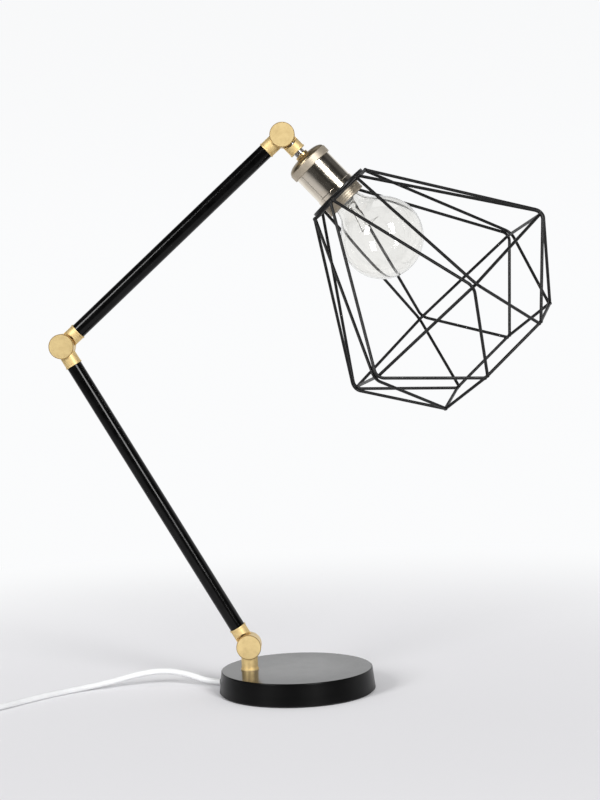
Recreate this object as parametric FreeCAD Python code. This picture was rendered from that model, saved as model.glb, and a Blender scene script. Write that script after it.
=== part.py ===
import FreeCAD, Part
import math
import os

# Two-arm desk lamp with three friction knuckles and a wire cage shade.
# Millimetres and degrees. The origin is the centre of the underside of the foot, +Z is up,
# the arms move in the plane y = 0, and a lean is measured from +Z towards +X.

V = FreeCAD.Vector

# ---- driving dimensions: base ----
base_foot_diameter = 152.0
base_side_draft = 2.5
base_height = 22.5
base_edge_chamfer = 0.8
cover_side_wall = 2.5
cover_plate = 2.5
pad_thickness = 1.5
pad_inset = 2.0
weight_gap = 0.3
weight_web = 3.0
wrench_pocket_diameter = 32.0
stem_inset = 30.3
outlet_cut_margin = 5.0

# ---- driving dimensions: arms and knuckles ----
stem_height = 45.7
lower_arm_length = 342.0
upper_arm_length = 292.7
lower_arm_lean = -29.58
upper_arm_lean = 48.5
head_lean = 137.56
tube_diameter = 15.0
tube_wall = 1.0
knuckle_diameter = 24.0
knuckle_width = 20.4
knuckle_rim = 0.6
neck_diameter = 16.0
lip_diameter = 16.8
lip_width = 1.5
foot_lip_diameter = 17.2
collar_reach = 21.5
spigot_length = 12.0
friction_ring_width = 2.6
friction_ring_thickness = 0.5
friction_ring_inset = 0.4
chamber_inner_diameter = 9.2
chamber_outer_diameter = 17.2
chamber_floor = 3.4
pivot_screw_diameter = 4.0
pivot_head_diameter = 7.2
pivot_head_height = 2.5
pivot_socket_width = 2.5
pivot_socket_depth = 1.5
pivot_screw_tip = 2.8
wire_way_diameter = 4.4
wire_way_offset = 4.4
wire_way_run = 6.0
lead_diameter = 4.0
lead_overrun = 3.0

# ---- driving dimensions: stem and head nipples ----
nipple_diameter = 10.3
nipple_bore = 7.0
nipple_engagement = 9.3
stem_nipple_drop = 11.5
stem_nut_width = 14.0
stem_nut_height = 4.3
stem_washer_diameter = 22.0
stem_washer_thickness = 1.2
lock_nut_diameter = 13.0
lock_nut_height = 2.6
lock_nut_chamfer = 0.4
nipple_showing = 4.0

# ---- driving dimensions: lampholder, along the head's axis from the head knuckle ----
cap_dome_radius = 21.0
cap_dome_height = 6.2
cap_boss_radius = 6.0
cap_rim_radius = 21.7
cap_rim_length = 7.2
cap_wall = 1.6
cap_boss_depth = 5.0
body_radius = 20.0
body_length = 29.0
body_wall = 1.2
body_overlap = 5.0
shoulder_radius = 20.6
shoulder_length = 4.5
shoulder_chamfer = 0.5
skirt_radius = 18.3
skirt_length = 13.0
fitter_plate_radius = 31.5
fitter_plate_thickness = 2.5
fitter_plate_hole = 18.6
ring_nut_radius = 20.8
ring_nut_length = 11.1
ring_nut_grooves = 4
ring_nut_groove_depth = 0.35
ring_nut_chamfer = 0.6
groove_cut_margin = 1.0
insulator_radius = 17.6
insulator_length = 17.0
insulator_recess_radius = 9.0
thread_shell_radius = 13.9
thread_shell_wall = 0.5
thread_shell_length = 26.0
contact_radius = 4.5
contact_thickness = 0.8
contact_stand = 3.0
terminal_screw_radius = 2.4
terminal_screw_length = 4.0
terminal_screw_pitch = 11.5
terminal_slot = 0.8

# ---- driving dimensions: bulb ----
bulb_cap_radius = 13.2
bulb_cap_length = 25.0
bulb_tip_length = 2.7
bulb_tip_radius = 4.8
bulb_thread_count = 5
bulb_thread_pitch = 3.6
bulb_thread_depth = 0.7
globe_radius = 40.0
globe_neck_radius = 14.0
globe_neck_sweep = 20.0
globe_centre_beyond_cap = 51.7
glass_wall = 0.8
mount_flare_radius = 11.8
mount_press_length = 12.0
mount_rod_radius = 2.0
mount_rod_length = 20.0
mount_button_radius = 3.0
filament_wire_radius = 0.35
filament_radius = 11.0
filament_rise = 3.0
filament_supports = 5
filament_gap_angle = 60.0

# ---- driving dimensions: cage ----
cage_sides = 6
cage_turn = 19.2
rod_diameter = 3.0
ring_bend = 5.0
strut_bend = 9.0
top_ring_radius = 35.0
wide_ring_drop = 145.1
wide_strut_radius = 129.3
lower_ring_drop = 216.4
lower_ring_radius = 73.4
strut_pair_pitch = 3.2
weld_gap = 0.1

# ---- driving dimensions: cord, bush, switch and plug ----
cord_diameter = 6.0
cord_outlet_angle = 160.0
cord_outlet_height = 5.2
cord_outlet_run = 15.0
switch_level_run = 20.0
bush_neck_radius = 4.0
bush_flange_radius = 5.0
bush_flange_thickness = 1.2
bush_nose_length = 3.5
bush_tail_length = 15.0
bush_tip_radius = 3.5
bush_inner_flange = 1.5
cord_way_side_gap = 0.5
inner_bend_setback = 11.0
coil_inner_radius = 25.0
coil_turn_pitch = 7.8
coil_layer_pitch = 6.7
coil_half_turns = 5
coil_lead_in = 44.0
coil_lead_out = 6.0
coil_entry_level_run = 9.0
coil_entry_slope_run = 22.0
coil_entry_bend = 40.0
switch_length = 58.0
switch_width = 24.0
switch_height = 17.0
switch_cord_height = 7.0
switch_corner = 7.0
switch_edge = 1.6
rocker_length = 20.0
rocker_width = 11.0
rocker_gap = 0.4
rocker_pivot_height = 12.5
rocker_top = 5.0
rocker_dip = 1.4
rocker_below = 2.0
rocker_foot_length = 16.0
rocker_tilt = 9.0
rocker_pin_diameter = 2.0
rocker_pin_length = 2.0
plug_width = 35.3
plug_thickness = 13.7
plug_length = 26.0
plug_bevel = 4.2
plug_back_width = 22.0
plug_back_thickness = 11.0
plug_relief_length = 24.0
plug_relief_radius = 4.8
plug_relief_tip = 3.6
plug_relief_grooves = 4
plug_relief_groove = 1.4
plug_groove_skin = 0.2
plug_pin_diameter = 4.0
plug_pin_length = 19.0
plug_pin_pitch = 18.6
plug_pin_root = 6.0
plug_pin_chamfer = 1.0

# ---- named clearances ----
running_fit = 0.05
thread_fit = 0.05
slip_fit = 0.05
hole_gap = 0.3
turning_gap = 0.4
face_gap = 0.1

# ---- places worked out from the dimensions ----
rod_radius = rod_diameter / 2
cord_radius = cord_diameter / 2
tube_radius = tube_diameter / 2
tube_bore = tube_radius - tube_wall
half_width = knuckle_width / 2
mating_face = friction_ring_thickness / 2
stem_offset = base_foot_diameter / 2 - stem_inset
base_pivot = V(-stem_offset, 0, stem_height)


def lean(degrees):
    """Unit vector that leans from +Z towards +X."""
    angle = math.radians(degrees)
    return V(math.sin(angle), 0, math.cos(angle))


elbow_pivot = base_pivot + lean(lower_arm_lean) * lower_arm_length
head_pivot = elbow_pivot + lean(upper_arm_lean) * upper_arm_length
nut_start = collar_reach + nipple_showing
cap_start = nut_start + lock_nut_height
rim_start = cap_start + cap_dome_height
body_start = rim_start + cap_rim_length
shoulder_start = body_start + body_length
plate_start = shoulder_start + shoulder_length
ring_nut_start = plate_start + fitter_plate_thickness
ring_nut_end = ring_nut_start + ring_nut_length
cage_start = ring_nut_start + rod_radius
insulator_start = body_start - body_overlap + cap_wall
contact_start = insulator_start + insulator_length
bulb_tip = contact_start + contact_stand
bulb_cap_start = bulb_tip + bulb_tip_length
bulb_cap_end = bulb_cap_start + bulb_cap_length
globe_centre = bulb_cap_end + globe_centre_beyond_cap
coil_centre = V(-436.5, -21.5, 0)
switch_line_y = coil_centre.y - coil_inner_radius - coil_half_turns * coil_turn_pitch / 2


# ---- shape helpers ----
def turned(points, arcs=()):
    """Solid turned about Z from a closed outline of (radius, height) points.

    arcs holds (index, radius, height): the edge that starts at that point is an arc
    through the given middle point.
    """
    middles = {index: V(r, 0, z) for index, r, z in arcs}
    corners = [V(r, 0, z) for r, z in points]
    edges = []
    for index, start in enumerate(corners):
        end = corners[(index + 1) % len(corners)]
        if index in middles:
            edges.append(Part.Arc(start, middles[index], end).toShape())
        else:
            edges.append(Part.LineSegment(start, end).toShape())
    return Part.Face(Part.Wire(edges)).revolve(V(0, 0, 0), V(0, 0, 1), 360)


def rod(start, end, radius):
    """Round rod between two points."""
    return Part.makeCylinder(radius, (end - start).Length, start, end - start)


def ring(outer, inner, height, base=0.0):
    """Washer or sleeve about Z."""
    blank = Part.makeCylinder(outer, height, V(0, 0, base))
    return blank.cut(Part.makeCylinder(inner, height, V(0, 0, base)))


def hexagon_bar(across_flats, height, base):
    """Six-sided bar about Z."""
    corner = across_flats / 2 / math.cos(math.pi / 6)
    points = [V(corner * math.cos(k * math.pi / 3), corner * math.sin(k * math.pi / 3), base)
              for k in range(7)]
    return Part.Face(Part.makePolygon(points)).extrude(V(0, 0, height))


def chamfered(shape, size, wanted):
    """Chamfer the edges that wanted(edge) picks."""
    edges = [edge for edge in shape.Edges if wanted(edge)]
    return shape.makeChamfer(size, edges)


def leaned(shape, pivot, degrees):
    """Turn an upright shape about +Y by a lean and put its origin on the pivot."""
    placed = shape.copy()
    turn = FreeCAD.Placement(pivot, FreeCAD.Rotation(V(0, 1, 0), degrees))
    placed.Placement = turn.multiply(placed.Placement)
    return placed


def bend_radius(before, corner, after, share=0.45):
    """Largest arc that a corner's two runs allow, and the half turn."""
    first = corner - before
    second = after - corner
    half_turn = first.getAngle(second) / 2
    return share * min(first.Length, second.Length) / math.tan(half_turn), half_turn


def rounded_path(points, radii):
    """Wire of straight runs through the points, with a tangent arc at each inner corner."""
    edges = []
    start = points[0]
    for index in range(1, len(points) - 1):
        corner = points[index]
        into = (corner - points[index - 1]).normalize()
        out = (points[index + 1] - corner).normalize()
        half_turn = into.getAngle(out) / 2
        setback = radii[index - 1] * math.tan(half_turn)
        arc_start = corner - into * setback
        arc_end = corner + out * setback
        inward = (out - into).normalize()
        middle = corner + inward * (radii[index - 1] * (1 / math.cos(half_turn) - 1))
        edges.append(Part.LineSegment(start, arc_start).toShape())
        edges.append(Part.Arc(arc_start, middle, arc_end).toShape())
        start = arc_end
    edges.append(Part.LineSegment(start, points[-1]).toShape())
    return Part.Wire(edges)


def swept(path, radius):
    """Round rod along a path that starts straight."""
    first = path.OrderedEdges[0]
    start = first.valueAt(first.FirstParameter)
    heading = first.tangentAt(first.FirstParameter)
    if (path.OrderedVertexes[0].Point - start).Length > 0.001:
        start = first.valueAt(first.LastParameter)
        heading = first.tangentAt(first.LastParameter) * -1
    section = Part.Wire(Part.Circle(start, heading, radius).toShape())
    return path.makePipeShell([section], True, False)


def report_tube(name, solid, path, radius):
    """Print a tube's volume beside its section times its length."""
    expected = math.pi * radius ** 2 * path.Length
    print(f"{name}: length {path.Length:.1f}, volume {solid.Volume:.1f}, section x length {expected:.1f}")


# ---- base ----
def make_base():
    """Turned cover, iron weight, pad, bush and the stem's fixings."""
    foot = base_foot_diameter / 2
    top = foot - base_side_draft
    cavity = top - cover_side_wall
    ceiling = base_height - cover_plate
    stem_foot = V(-stem_offset, 0, 0)
    outward = V(math.cos(math.radians(cord_outlet_angle)), math.sin(math.radians(cord_outlet_angle)), 0)
    lift = V(0, 0, cord_outlet_height)
    rim = foot - (foot - top) * (cord_outlet_height - pad_thickness) / (base_height - pad_thickness)

    cover = turned([(cavity, pad_thickness), (foot, pad_thickness), (top, base_height),
                    (0, base_height), (0, ceiling), (cavity, ceiling)])
    cover = chamfered(cover, base_edge_chamfer, lambda edge: (
        abs(edge.BoundBox.ZMin - base_height) < 0.01 and abs(edge.BoundBox.XMax - top) < 0.01))
    stem_hole = Part.makeCylinder(nipple_diameter / 2 + hole_gap, base_height, stem_foot)
    cover = cover.cut(stem_hole)

    # The outlet is a slot open to the underside; the bush slides up into it.
    slot_radius = bush_neck_radius + slip_fit
    cut_start = cavity - outlet_cut_margin
    cut_end = foot + outlet_cut_margin
    slot = rod(lift + outward * cut_start, lift + outward * cut_end, slot_radius)
    slot = slot.fuse(along_outlet(cut_start, cut_end, slot_radius, 0, cord_outlet_height, outward))
    cover = cover.cut(slot)

    weight = Part.makeCylinder(cavity - weight_gap, ceiling - pad_thickness, V(0, 0, pad_thickness))
    weight = weight.cut(stem_hole)
    web = ceiling - weight_web
    weight = weight.cut(Part.makeCylinder(wrench_pocket_diameter / 2, web, stem_foot))
    way = bush_flange_radius + cord_way_side_gap
    inner_end = rim - bush_tail_length - inner_bend_setback - 2 * way
    weight = weight.cut(along_outlet(inner_end, foot, way, 0, cord_outlet_height + way, outward))

    pad = Part.makeCylinder(foot - pad_inset, pad_thickness)

    washer = ring(stem_washer_diameter / 2, nipple_diameter / 2 + hole_gap,
                  stem_washer_thickness, web - stem_washer_thickness)
    nut_top = web - stem_washer_thickness
    nut = hexagon_bar(stem_nut_width, stem_nut_height, nut_top - stem_nut_height)
    nut = nut.cut(Part.makeCylinder(nipple_diameter / 2 + thread_fit, base_height))
    nipple_end = base_height + nipple_engagement
    nipple = ring(nipple_diameter / 2, nipple_bore / 2, nipple_end - stem_nipple_drop, stem_nipple_drop)
    for piece in (washer, nut, nipple):
        piece.translate(stem_foot)

    # Bush: nose and flange outside the wall, neck in the slot, flange and tapered tail inside.
    flange_seat = foot + face_gap
    flange_out = flange_seat + bush_flange_thickness
    tip = flange_out + bush_nose_length
    flange_in = cavity - weight_gap - bush_inner_flange
    tail = flange_in - bush_tail_length
    bush = turned([(0, tail), (bush_tip_radius, tail), (bush_neck_radius, flange_in),
                   (bush_flange_radius, flange_in), (bush_flange_radius, cavity - weight_gap),
                   (bush_neck_radius, cavity - weight_gap), (bush_neck_radius, flange_seat),
                   (bush_flange_radius, flange_seat), (bush_flange_radius, flange_out),
                   (bush_neck_radius, flange_out), (bush_tip_radius, tip), (0, tip)])
    bush = bush.cut(Part.makeCylinder(cord_radius + slip_fit, 2 * foot))
    turn = FreeCAD.Rotation(V(0, 0, 1), outward)
    bush.Placement = FreeCAD.Placement(lift, turn)
    bush = bush.cut(Part.makeBox(4 * foot, 4 * foot, pad_thickness, V(-2 * foot, -2 * foot, 0)))

    # The cord's inner end: through the bush, round to the stem and up the nipple.
    corner = lift + outward * (tail - inner_bend_setback)
    under_stem = stem_foot + lift
    lead_top = V(-stem_offset, 0, nipple_end)
    route = [lift + outward * tip, corner, under_stem, lead_top]
    first_bend = bend_radius(*route[0:3])[0]
    stem_bend = stem_nipple_drop - cord_outlet_height - hole_gap
    path = rounded_path(route, [first_bend, stem_bend])
    lead = swept(path, cord_radius)
    report_tube("base_lead", lead, path, cord_radius)

    return {"base_cover": cover, "base_weight": weight, "base_pad": pad, "cord_bush": bush,
            "stem_nipple": nipple, "stem_washer": washer, "stem_nut": nut,
            "base_lead": lead}, lift + outward * tip, outward


def along_outlet(inner, outer, half_width_there, low, high, outward):
    """Upright slab along the cord's outlet direction, between two radii."""
    slab = Part.makeBox(outer - inner, 2 * half_width_there, high - low,
                        V(inner, -half_width_there, low))
    slab.rotate(V(0, 0, 0), V(0, 0, 1), math.degrees(math.atan2(outward.y, outward.x)))
    return slab


# ---- knuckles ----
def knuckle_half(side, reach, end_lip, carries_tube):
    """One half of a knuckle, upright: pivot axis Y, its arm towards +Z.

    side is -1 for the front half and +1 for the rear half.
    """
    face = V(0, side * mating_face, 0)
    axis = V(0, side, 0)
    depth = half_width - mating_face
    disc = Part.makeCylinder(knuckle_diameter / 2, depth, face, axis)
    disc = chamfered(disc, knuckle_rim, lambda edge: (
        abs(abs(edge.BoundBox.YMin) - half_width) < 0.01 and edge.BoundBox.YLength < 0.01))
    neck = Part.makeCylinder(neck_diameter / 2, reach - lip_width)
    neck = neck.fuse(Part.makeCylinder(end_lip / 2, lip_width, V(0, 0, reach - lip_width)))
    other_half = Part.makeCylinder(knuckle_diameter / 2 + turning_gap, knuckle_width, face, axis * -1)
    half = disc.fuse(neck.cut(other_half))
    if carries_tube:
        spigot = Part.makeCylinder(tube_bore - slip_fit, spigot_length, V(0, 0, reach))
        half = half.fuse(spigot)
        half = half.cut(Part.makeCylinder(wire_way_diameter / 2, reach + spigot_length,
                                          V(0, 0, reach - wire_way_run)))
    else:
        bore_end = reach - nipple_engagement
        half = half.cut(Part.makeCylinder(nipple_diameter / 2 + thread_fit, reach, V(0, 0, bore_end)))

    # A ring-shaped wire chamber round the screw post, and a slanted way into it.
    chamber = Part.makeCylinder(chamber_outer_diameter / 2, depth - chamber_floor, face, axis)
    chamber = chamber.cut(Part.makeCylinder(chamber_inner_diameter / 2, depth, face, axis))
    slant_start = V(0, 0, reach - wire_way_run)
    slant_end = V(0, side * (wire_way_offset + mating_face), knuckle_diameter / 4)
    half = half.cut(chamber.fuse(rod(slant_start, slant_end, wire_way_diameter / 2)))

    if side < 0:
        hole_depth = half_width - pivot_screw_tip
        hole = Part.makeCylinder(pivot_screw_diameter / 2 + running_fit, hole_depth, V(0, 0, 0), axis)
    else:
        hole = Part.makeCylinder(pivot_screw_diameter / 2 + running_fit, knuckle_width, V(0, 0, 0), axis)
        seat = V(0, half_width - pivot_head_height - face_gap, 0)
        hole = hole.fuse(Part.makeCylinder(pivot_head_diameter / 2 + hole_gap, pivot_head_height * 2,
                                           seat, axis))
    return half.cut(hole)


def pivot_screw():
    """Screw from the rear face into the front half, pivot axis Y."""
    head_seat = half_width - pivot_head_height
    shank_end = -(half_width - pivot_screw_tip - face_gap)
    shank = Part.makeCylinder(pivot_screw_diameter / 2, head_seat - shank_end, V(0, shank_end, 0),
                              V(0, 1, 0))
    head = Part.makeCylinder(pivot_head_diameter / 2, pivot_head_height, V(0, head_seat, 0), V(0, 1, 0))
    socket = hexagon_bar(pivot_socket_width, pivot_socket_depth, 0)
    socket.rotate(V(0, 0, 0), V(1, 0, 0), -90)
    socket.translate(V(0, half_width - pivot_socket_depth, 0))
    return shank.fuse(head).cut(socket)


def friction_ring():
    """Flat ring between the halves; it stays with the front half."""
    outer = knuckle_diameter / 2 - friction_ring_inset
    washer = ring(outer, outer - friction_ring_width, friction_ring_thickness - running_fit)
    washer.rotate(V(0, 0, 0), V(1, 0, 0), -90)
    washer.translate(V(0, -mating_face, 0))
    return washer


def make_knuckles():
    """Three knuckles: (front lean, front reach), (rear lean) at their pivots."""
    stem_reach = stem_height - base_height
    nodes = {}
    stem_half = knuckle_half(-1, stem_reach, foot_lip_diameter, False)
    nodes["base_knuckle_front"] = leaned(stem_half, base_pivot, 180)
    tube_front = knuckle_half(-1, collar_reach, lip_diameter, True)
    tube_rear = knuckle_half(1, collar_reach, lip_diameter, True)
    nodes["base_knuckle_rear"] = leaned(tube_rear, base_pivot, lower_arm_lean)
    nodes["elbow_front"] = leaned(tube_front, elbow_pivot, lower_arm_lean + 180)
    nodes["elbow_rear"] = leaned(tube_rear, elbow_pivot, upper_arm_lean)
    nodes["head_knuckle_front"] = leaned(tube_front, head_pivot, upper_arm_lean + 180)
    head_half = knuckle_half(1, collar_reach, lip_diameter, False)
    nodes["head_knuckle_rear"] = leaned(head_half, head_pivot, head_lean)
    for name, pivot in (("base_knuckle", base_pivot), ("elbow", elbow_pivot), ("head_knuckle", head_pivot)):
        nodes[name + "_screw"] = leaned(pivot_screw(), pivot, 0)
        nodes[name + "_ring"] = leaned(friction_ring(), pivot, 0)
    return nodes


def make_arm(name, pivot, degrees, length):
    """Tube between two collars, with the lead inside it."""
    tube_length = length - 2 * collar_reach
    tube = ring(tube_radius, tube_bore, tube_length, collar_reach)
    lead = Part.makeCylinder(lead_diameter / 2, tube_length + 2 * lead_overrun,
                             V(0, 0, collar_reach - lead_overrun))
    return {name + "_tube": leaned(tube, pivot, degrees), name + "_lead": leaned(lead, pivot, degrees)}


# ---- lampholder ----
def make_lampholder():
    """Nipple, lock nut, cap, body, ring nut and the insides, upright along the head's axis."""
    nipple = ring(nipple_diameter / 2, nipple_bore / 2, cap_start + cap_boss_depth - collar_reach
                  + nipple_engagement, collar_reach - nipple_engagement)
    lock_nut = ring(lock_nut_diameter / 2, nipple_diameter / 2 + thread_fit, lock_nut_height, nut_start)
    lock_nut = chamfered(lock_nut, lock_nut_chamfer, lambda edge: (
        edge.BoundBox.ZLength < 0.01 and edge.BoundBox.XMax > lock_nut_diameter / 2 - 0.01))

    # The dome is a low ellipse; its middle point lies on the ellipse at 45 degrees.
    slope = math.sqrt(0.5)
    dome_mid = (cap_dome_radius * slope, rim_start - cap_dome_height * slope)
    inner_dome = cap_dome_radius - cap_wall
    inner_mid = (inner_dome * slope, rim_start + cap_wall - cap_dome_height * slope)
    boss_end = cap_start + cap_boss_depth
    boss_outer = cap_boss_radius + cap_wall
    hole = nipple_diameter / 2 + thread_fit
    cap = turned([(hole, cap_start), (cap_boss_radius, cap_start), (cap_dome_radius, rim_start),
                  (cap_rim_radius, rim_start), (cap_rim_radius, body_start),
                  (body_radius, body_start), (body_radius, rim_start + cap_wall),
                  (boss_outer, cap_start + cap_wall), (boss_outer, boss_end), (hole, boss_end)],
                 arcs=[(1,) + dome_mid, (6,) + inner_mid])

    tucked = body_radius - body_wall / 2 - slip_fit
    body_top = body_start - body_overlap
    cavity = tucked - body_wall
    body = turned([(cavity, body_top), (tucked, body_top), (tucked, body_start), (body_radius, body_start),
                   (body_radius, shoulder_start), (shoulder_radius, shoulder_start),
                   (shoulder_radius, plate_start), (skirt_radius, plate_start),
                   (skirt_radius, plate_start + skirt_length),
                   (skirt_radius - body_wall, plate_start + skirt_length),
                   (skirt_radius - body_wall, shoulder_start), (cavity, shoulder_start)])
    body = chamfered(body, shoulder_chamfer, lambda edge: (
        edge.BoundBox.ZLength < 0.01 and abs(edge.BoundBox.XMax - shoulder_radius) < 0.01))

    nut_inner = skirt_radius + thread_fit
    nut = ring(ring_nut_radius, nut_inner, ring_nut_length, ring_nut_start)
    nut = chamfered(nut, ring_nut_chamfer, lambda edge: (
        edge.BoundBox.ZLength < 0.01 and abs(edge.BoundBox.XMax - ring_nut_radius) < 0.01))
    groove_pitch = ring_nut_length / (ring_nut_grooves + 1)
    for k in range(ring_nut_grooves):
        height = ring_nut_start + groove_pitch * (k + 1) - ring_nut_groove_depth
        nut = nut.cut(ring(ring_nut_radius + groove_cut_margin, ring_nut_radius - ring_nut_groove_depth,
                           2 * ring_nut_groove_depth, height))

    insulator = Part.makeCylinder(insulator_radius, insulator_length, V(0, 0, insulator_start))
    insulator = insulator.cut(Part.makeCylinder(insulator_recess_radius, contact_stand,
                                                V(0, 0, contact_start - contact_stand)))
    shell = ring(thread_shell_radius, thread_shell_radius - thread_shell_wall, thread_shell_length,
                 contact_start)
    contact = Part.makeCylinder(contact_radius, contact_thickness, V(0, 0, bulb_tip - contact_thickness))
    contact_leg = Part.makeBox(contact_thickness, contact_radius, contact_stand * 2 - contact_thickness,
                               V(0, -contact_radius / 2, bulb_tip - contact_stand * 2))
    contact = contact.fuse(contact_leg)
    screws = []
    for x in (-terminal_screw_pitch, terminal_screw_pitch):
        for y in (-terminal_screw_pitch / 2, terminal_screw_pitch / 2):
            head = Part.makeCylinder(terminal_screw_radius, terminal_screw_length / 2,
                                     V(x, y, insulator_start - terminal_screw_length / 2))
            slot = Part.makeBox(2 * terminal_screw_radius, terminal_slot, terminal_slot,
                                V(x - terminal_screw_radius, y - terminal_slot / 2,
                                  insulator_start - terminal_screw_length / 2))
            screws.append(head.cut(slot))
    plate = ring(fitter_plate_radius, fitter_plate_hole, fitter_plate_thickness, plate_start)
    return {"head_nipple": nipple, "nipple_nut": lock_nut, "socket_cap": cap, "socket_body": body,
            "ring_nut": nut, "socket_insulator": insulator, "thread_shell": shell,
            "centre_contact": contact, "terminal_screws": Part.makeCompound(screws), "fitter_plate": plate}


# ---- bulb ----
def make_bulb():
    """Screw cap, blown globe, glass stem and filament, upright along the head's axis."""
    crest = bulb_cap_radius
    trough = bulb_cap_radius - bulb_thread_depth
    outline = [(0, bulb_tip), (bulb_tip_radius, bulb_tip), (trough, bulb_cap_start)]
    arcs = []
    for k in range(bulb_thread_count):
        low = bulb_cap_start + bulb_thread_pitch * (k + 0.5)
        arcs.append((len(outline), crest, low + bulb_thread_pitch / 4))
        outline += [(trough, low), (trough, low + bulb_thread_pitch / 2)]
    shoulder = bulb_cap_start + bulb_thread_pitch * (bulb_thread_count + 0.5)
    outline += [(trough, shoulder), (crest, shoulder + bulb_thread_depth), (crest, bulb_cap_end),
                (0, bulb_cap_end)]
    cap = turned(outline, arcs)

    # The neck sweeps into the globe: one arc tangent to the straight neck and to the sphere.
    sweep_height = math.sqrt((globe_radius + globe_neck_sweep) ** 2
                             - (globe_neck_radius + globe_neck_sweep) ** 2)
    sweep_centre = globe_centre - sweep_height

    def neck_and_globe(wall):
        sphere = globe_radius - wall
        sweep = globe_neck_sweep + wall
        neck = globe_neck_radius - wall
        reach = globe_neck_radius + globe_neck_sweep
        angle = math.atan2(sweep_height, reach)
        join = (sphere * math.cos(angle), globe_centre - sphere * math.sin(angle))
        sweep_mid = (reach - sweep * math.cos(angle / 2), sweep_centre + sweep * math.sin(angle / 2))
        sphere_mid_angle = (math.pi / 2 - angle) / 2
        sphere_mid = (sphere * math.cos(sphere_mid_angle),
                      globe_centre + sphere * math.sin(sphere_mid_angle))
        return neck, join, sweep_mid, sphere_mid, sphere

    neck, join, sweep_mid, sphere_mid, sphere = neck_and_globe(0)
    neck_in, join_in, sweep_mid_in, sphere_mid_in, sphere_in = neck_and_globe(glass_wall)
    glass = turned([(neck_in, bulb_cap_end), (neck, bulb_cap_end), (neck, sweep_centre), join,
                    (0, globe_centre + sphere), (0, globe_centre + sphere_in), join_in,
                    (neck_in, sweep_centre)],
                   arcs=[(2,) + sweep_mid, (3,) + sphere_mid, (5,) + sphere_mid_in, (6,) + sweep_mid_in])

    press = bulb_cap_end + mount_press_length
    rod_end = press + mount_rod_length
    mount = turned([(0, bulb_cap_end), (mount_flare_radius, bulb_cap_end),
                    (mount_rod_radius * 2, press), (mount_rod_radius, press), (mount_rod_radius, rod_end),
                    (0, rod_end)])
    mount = mount.fuse(Part.makeSphere(mount_button_radius, V(0, 0, rod_end)))

    # Filament: an open arc of wire carried on supports that fan out from the glass button.
    hub = V(0, 0, rod_end)
    level = V(0, 0, rod_end + filament_rise)
    half_gap = filament_gap_angle / 2
    arc = Part.Wire(Part.makeCircle(filament_radius, level, V(0, 0, 1), half_gap, 360 - half_gap))
    start = arc.Edges[0].valueAt(arc.Edges[0].FirstParameter)
    section = Part.Wire(Part.Circle(start, V(0, 0, 1).cross(start - level), filament_wire_radius).toShape())
    filament = arc.makePipeShell([section], True, False)
    supports = []
    for k in range(filament_supports):
        angle = math.radians(half_gap + (360 - filament_gap_angle) * k / (filament_supports - 1))
        outward = V(math.cos(angle), math.sin(angle), 0)
        supports.append(rod(hub + outward * mount_rod_radius, level + outward * filament_radius,
                            filament_wire_radius))
    filament = filament.fuse(supports).cut(mount)
    return {"bulb_cap": cap, "bulb_glass": glass, "bulb_mount": mount, "bulb_filament": filament}


# ---- cage ----
def cage_point(radius, drop, position, shift=0.0):
    """Point of the cage, upright: position counts sixths of a turn, shift runs along the turn."""
    angle = math.radians(cage_turn + 360 / cage_sides * position)
    towards = V(-math.cos(angle), -math.sin(angle), 0)
    sideways = V(math.sin(angle), -math.cos(angle), 0)
    return towards * radius + sideways * shift + V(0, 0, cage_start + drop)


def cage_ring(corner_radius, drop, first):
    """Hexagonal ring of bent rod, starting in the middle of a side."""
    corners = [cage_point(corner_radius, drop, first + k) for k in range(cage_sides)]
    start = (corners[-1] + corners[0]) * 0.5
    points = [start] + corners + [start]
    path = rounded_path(points, [ring_bend] * cage_sides)
    section = Part.Wire(Part.Circle(start, corners[0] - start, rod_radius).toShape())
    return path.makePipeShell([section], True, False)


def make_cage():
    """Three rings and twelve bent struts, upright along the head's axis."""
    bend_inset = ring_bend * (1 / math.cos(math.pi / cage_sides) - 1)
    top_mid = top_ring_radius - bend_inset
    lower_mid = lower_ring_radius - bend_inset
    half_pitch = strut_pair_pitch / 2
    top_end = cage_point(top_mid, 0, 0.5, -half_pitch)
    knee = cage_point(wide_strut_radius, wide_ring_drop, 0, half_pitch)
    low_end = cage_point(lower_mid, lower_ring_drop, 0.5, -half_pitch)
    half_turn = (knee - top_end).getAngle(low_end - knee) / 2
    knee_inset = strut_bend * (1 / math.cos(half_turn) - 1)
    wire_distance = rod_diameter + weld_gap
    rest = math.sqrt(wire_distance ** 2 - half_pitch ** 2)
    wide_ring_radius = wide_strut_radius - knee_inset - rest + bend_inset
    nodes = {"top_ring": cage_ring(top_ring_radius, 0, 0.5),
             "wide_ring": cage_ring(wide_ring_radius, wide_ring_drop, 0),
             "lower_ring": cage_ring(lower_ring_radius, lower_ring_drop, 0.5)}
    number = 0
    for vertex in range(cage_sides):
        for side in (-1, 1):
            number += 1
            end_place = vertex + 0.5 * side
            ends = [cage_point(top_mid, 0, end_place, -side * half_pitch),
                    cage_point(wide_strut_radius, wide_ring_drop, vertex, side * half_pitch),
                    cage_point(lower_mid, lower_ring_drop, end_place, -side * half_pitch)]
            strut = swept(rounded_path(ends, [strut_bend]), rod_radius)
            strut = strut.cut([nodes["top_ring"], nodes["lower_ring"]])
            nodes[f"cage_wire_{number:02d}"] = max(strut.Solids, key=lambda solid: solid.Volume)
    return nodes


# ---- cord ----
def cord_tube(name, route):
    """Tube of straight runs and the largest tangent arcs; prints its radii."""
    radii = [bend_radius(*route[k:k + 3])[0] for k in range(len(route) - 2)]
    print(f"{name} radii:", [round(radius) for radius in radii])
    path = rounded_path(route, radii)
    tube = swept(path, cord_radius)
    report_tube(name, tube, path, cord_radius)
    return tube


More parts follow.
